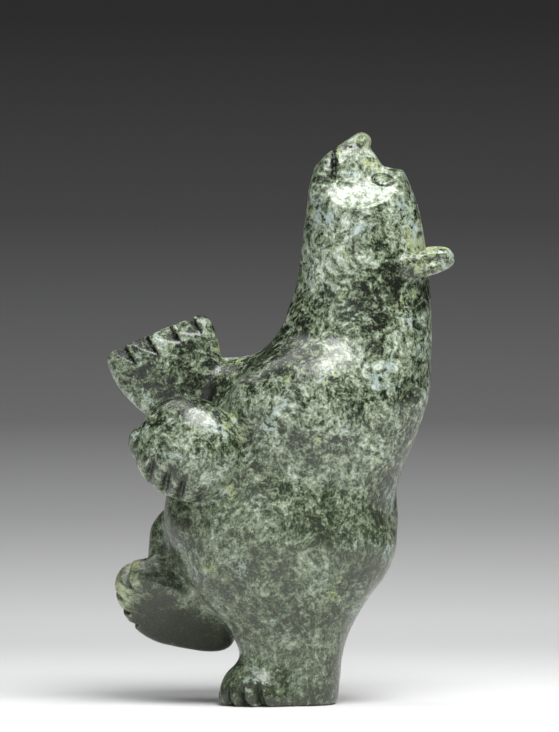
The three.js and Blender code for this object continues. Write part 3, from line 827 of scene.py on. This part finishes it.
def polished_serpentine(colours):
    """Serpentine soapstone, rasped, sanded wet and waxed.

    To the eye: pale mint webs round dark green grains of one to three millimetres, in clouds that
    run from nearly black to grey green, with olive in the lower body, a few yellow green and blue
    grey patches, painted shade in the filed grooves and eye lines, on the raised palm and under the
    lifted foot, a painted highlight along the facets below the eyes, and a soft wax gloss that the
    last sanding marks break into streaks.
    """
    material = new_material("polished_serpentine")
    tree = material.node_tree
    values = stone_values(tree)
    tone = stone_tone(tree, values)
    normal, roughness = sanded_gloss(tree, values, tone)
    shader = add(tree, "ShaderNodeBsdfPrincipled", {
        "Base Color": stone_colour(tree, values, tone, colours), "Roughness": roughness, "Normal": normal,
        "IOR": 1.56, "Coat Weight": 0.15, "Coat Roughness": 0.18,
    })
    add(tree, "ShaderNodeOutputMaterial", {"Surface": shader.outputs[0]})
    return material


def studio_paper(colours):
    """Matt studio paper, coloured from white to dark grey by its height and its distance back.

    To the eye: nearly white under the carving, and darker and darker up the sweep behind it.
    """
    material = new_material("studio_paper")
    tree = material.node_tree
    place = add(tree, "ShaderNodeUVMap").outputs["UV"]
    along = add(tree, "ShaderNodeSeparateXYZ", {"Vector": place}).outputs["Y"]
    shade = add(tree, "ShaderNodeValToRGB", {"Fac": along})
    set_ramp(shade, [
        (0.0, colours.paper_white), (0.20, colours.paper_pale), (0.33, colours.paper_mid),
        (0.445, colours.paper_grey), (0.67, colours.paper_dark), (0.886, colours.paper_darkest),
    ])
    shader = add(tree, "ShaderNodeBsdfPrincipled", {
        "Base Color": shade.outputs["Color"], "Roughness": 0.9, "Specular IOR Level": 0.1,
    })
    add(tree, "ShaderNodeOutputMaterial", {"Surface": shader.outputs[0]})
    return material


# ---- Settings --------------------------------------------------------------------------------

def colour_setting(name, code, description):
    return bpy.props.FloatVectorProperty(
        name=name, description=description, default=linear(code), size=3, min=0, max=1, subtype="COLOR",
    )


class CarvingSettings(bpy.types.PropertyGroup):
    grid: bpy.props.FloatProperty(
        name="Grid", description="Spacing of the grid that the stone's surface is laid on, in mm",
        default=0.82, min=0.5, max=4,
    )
    wave_length: bpy.props.FloatProperty(
        name="Wave length", description="Length of the waves left by hand rasping, in mm",
        default=11.0, min=2, max=60,
    )
    wave_height: bpy.props.FloatProperty(
        name="Wave height", description="Height of the waves left by hand rasping, in mm",
        default=0.22, min=0, max=2,
    )


class StoneColours(bpy.types.PropertyGroup):
    black_grain: colour_setting("Black grain", "#13170f", "Darkest grains")
    dark_green: colour_setting("Dark green", "#2a3322", "Dark green of the grains")
    mid_green: colour_setting("Mid green", "#606d53", "Green between grain and web")
    grey_green: colour_setting("Grey green", "#96a28c", "Grey green of the clouds")
    mint_web: colour_setting("Mint web", "#ccd6c9", "Pale mint of the webs")
    olive: colour_setting("Olive", "#5f6a53", "Olive that the lower body runs to")
    yellow_green: colour_setting("Yellow green", "#a3ad5c", "Yellow green patches")
    blue_grey: colour_setting("Blue grey", "#a3b6bb", "Blue grey patches")


class StageSettings(bpy.types.PropertyGroup):
    distance: bpy.props.FloatProperty(
        name="Camera distance", description="From the lens to the carving",
        default=3.2, min=0.3, unit="LENGTH",
    )
    elevation: bpy.props.FloatProperty(
        name="Camera elevation", description="Height of the camera above the carving's middle, as an angle",
        default=math.radians(2), unit="ROTATION",
    )
    frame_height: bpy.props.FloatProperty(
        name="Framed height", description="Height that the picture takes in at the carving",
        default=0.258, min=0.05, unit="LENGTH",
    )
    aim_height: bpy.props.FloatProperty(
        name="Aim height", description="Height above the floor that the camera looks at",
        default=0.1187, unit="LENGTH",
    )
    key_power: bpy.props.FloatProperty(
        name="Key light", description="Power of the softbox above the bear's left side",
        default=7.5, min=0, unit="POWER",
    )
    fill_power: bpy.props.FloatProperty(
        name="Fill light", description="Power of the wide soft light at the camera's side",
        default=2.0, min=0, unit="POWER",
    )
    paper_power: bpy.props.FloatProperty(
        name="Paper light", description="Power of the light on the paper behind the carving",
        default=5.0, min=0, unit="POWER",
    )
    paper_white: colour_setting("White paper", "#fbfbfb", "Paper under the carving")
    paper_pale: colour_setting("Pale paper", "#e0e0e0", "Paper behind the carving")
    paper_mid: colour_setting("Middle paper", "#a3a3a3", "Paper where the sweep starts to rise")
    paper_grey: colour_setting("Grey paper", "#6f6f6f", "Paper up the sweep")
    paper_dark: colour_setting("Dark paper", "#464646", "Paper behind the head")
    paper_darkest: colour_setting("Darkest paper", "#2c2c2c", "Paper at the top")


# ---- Stage -----------------------------------------------------------------------------------

FLOOR_FRONT = -1.2       # metres from the carving to the paper's front edge
FLOOR_BACK = 0.30        # metres from the carving to where the paper starts to rise
SWEEP_RADIUS = 0.45
SWEEP_STEPS = 24
SWEEP_TOP = 1.6
SWEEP_HALF_WIDTH = 1.6
SHADE_BACK = 0.5         # share of the paper's shades passed for each metre back
SHADE_UP = 2.2           # and for each metre up

# Softboxes: where each shines from, its distance, what it aims at and its size, in metres.
KEY_SOFTBOX = ((0.245, -0.471, 0.839), 0.75, (0, 0, 0.12), (0.5, 0.45))
FILL_SOFTBOX = ((-0.5, -1.0, 0.25), 1.2, (0, 0, 0.1), (0.9, 0.9))
PAPER_LIGHT = ((-0.3, -0.2, 1.0), 1.1, (-0.1, 0.6, 0.1), (1.4, 0.5))
ROOM_COLOUR = (0.75, 0.78, 0.8, 1)
ROOM_STRENGTH = 0.15
SENSOR_HEIGHT = 36.0     # mm


def build_sweep(settings):
    """Paper that runs under the carving and curves up behind it; V of its UVs follows its height."""
    profile = [(FLOOR_FRONT, 0.0), (0.0, 0.0), (FLOOR_BACK, 0.0)]
    for i in range(1, SWEEP_STEPS + 1):
        turn = math.pi / 2 * i / SWEEP_STEPS
        y, z = SWEEP_RADIUS * math.sin(turn), SWEEP_RADIUS * (1 - math.cos(turn))
        profile.append((FLOOR_BACK + y, z))
    profile.append((FLOOR_BACK + SWEEP_RADIUS, SWEEP_TOP))
    mesh = bpy.data.meshes.new("paper_sweep")
    points = [(side * SWEEP_HALF_WIDTH, y, z) for y, z in profile for side in (-1, 1)]
    quads = [(2 * i, 2 * i + 1, 2 * i + 3, 2 * i + 2) for i in range(len(profile) - 1)]
    mesh.from_pydata(points, [], quads)
    layer = mesh.uv_layers.new(name="height")
    for loop in mesh.loops:
        x, y, z = mesh.vertices[loop.vertex_index].co
        layer.data[loop.index].uv = (x, min(SHADE_BACK * max(y, 0.0) + SHADE_UP * z, 1.0))
    mesh.shade_smooth()
    paper = bpy.data.objects.new("paper_sweep", mesh)
    bpy.context.scene.collection.objects.link(paper)
    mesh.materials.append(studio_paper(settings))
    return paper


def softbox(name, power, towards, distance, target, size):
    direction = Vector(towards).normalized()
    light = bpy.data.lights.new(name, "AREA")
    light.shape = "RECTANGLE"
    light.size, light.size_y = size
    light.energy = power
    lamp = bpy.data.objects.new(name, light)
    lamp.location = Vector(target) + direction * distance
    lamp.rotation_euler = direction.to_track_quat("Z", "Y").to_euler()
    bpy.context.scene.collection.objects.link(lamp)
    return lamp


def set_camera(settings):
    camera = bpy.data.cameras.new("camera")
    camera.sensor_fit = "VERTICAL"
    camera.sensor_height = SENSOR_HEIGHT
    camera.lens = SENSOR_HEIGHT * settings.distance / settings.frame_height
    camera.clip_end = 20
    back = Vector((0, -math.cos(settings.elevation), math.sin(settings.elevation)))
    holder = bpy.data.objects.new("camera", camera)
    holder.location = Vector((0, 0, settings.aim_height)) + back * settings.distance
    holder.rotation_euler = back.to_track_quat("Z", "Y").to_euler()
    bpy.context.scene.collection.objects.link(holder)
    bpy.context.scene.camera = holder


# ---- Operators -------------------------------------------------------------------------------

class BEAR_OT_carve(bpy.types.Operator):
    """Carve the bear in polished serpentine, in place of its plain solid"""

    bl_idname = "bear.carve"
    bl_label = "Carve bear"

    def execute(self, context):
        mesh = carve_bear(context.scene.bear_carving)
        mesh.materials.append(polished_serpentine(context.scene.bear_colours))
        piece = bpy.data.objects.new("bear_stone", mesh)
        context.scene.collection.objects.link(piece)
        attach(piece, "root")
        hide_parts("bear")
        return {"FINISHED"}


class BEAR_OT_set_stage(bpy.types.Operator):
    """Lay the paper and set the lights and the camera"""

    bl_idname = "bear.set_stage"
    bl_label = "Set stage"

    def execute(self, context):
        settings = context.scene.bear_stage
        build_sweep(settings)
        softbox("key_softbox", settings.key_power, *KEY_SOFTBOX)
        softbox("fill_softbox", settings.fill_power, *FILL_SOFTBOX)
        softbox("paper_light", settings.paper_power, *PAPER_LIGHT)
        world = bpy.data.worlds.new("studio")
        world.use_nodes = True
        world.node_tree.nodes["Background"].inputs["Color"].default_value = ROOM_COLOUR
        world.node_tree.nodes["Background"].inputs["Strength"].default_value = ROOM_STRENGTH
        context.scene.world = world
        context.scene.view_settings.view_transform = "Standard"
        set_camera(settings)
        return {"FINISHED"}


class BEAR_PT_panel(bpy.types.Panel):
    """The sizes, colours and steps of the bear carving"""

    bl_idname = "BEAR_PT_panel"
    bl_label = "Bear carving"
    bl_space_type = "VIEW_3D"
    bl_region_type = "UI"
    bl_category = "Bear carving"

    def draw(self, context):
        for group in (context.scene.bear_carving, context.scene.bear_colours, context.scene.bear_stage):
            box = self.layout.box()
            for name in group.bl_rna.properties.keys():
                if name not in ("rna_type", "name"):
                    box.prop(group, name)
        for operator in (BEAR_OT_carve, BEAR_OT_set_stage):
            self.layout.operator(operator.bl_idname)


CLASSES = (CarvingSettings, StoneColours, StageSettings, BEAR_OT_carve, BEAR_OT_set_stage, BEAR_PT_panel)
GROUPS = {"bear_carving": CarvingSettings, "bear_colours": StoneColours, "bear_stage": StageSettings}


def register():
    for cls in CLASSES:
        bpy.utils.register_class(cls)
    for name, group in GROUPS.items():
        setattr(bpy.types.Scene, name, bpy.props.PointerProperty(type=group))


def unregister():
    for name in GROUPS:
        delattr(bpy.types.Scene, name)
    for cls in reversed(CLASSES):
        bpy.utils.unregister_class(cls)


def main():
    register()
    bpy.ops.bear.carve()
    bpy.ops.bear.set_stage()


if __name__ == "__main__":
    main()
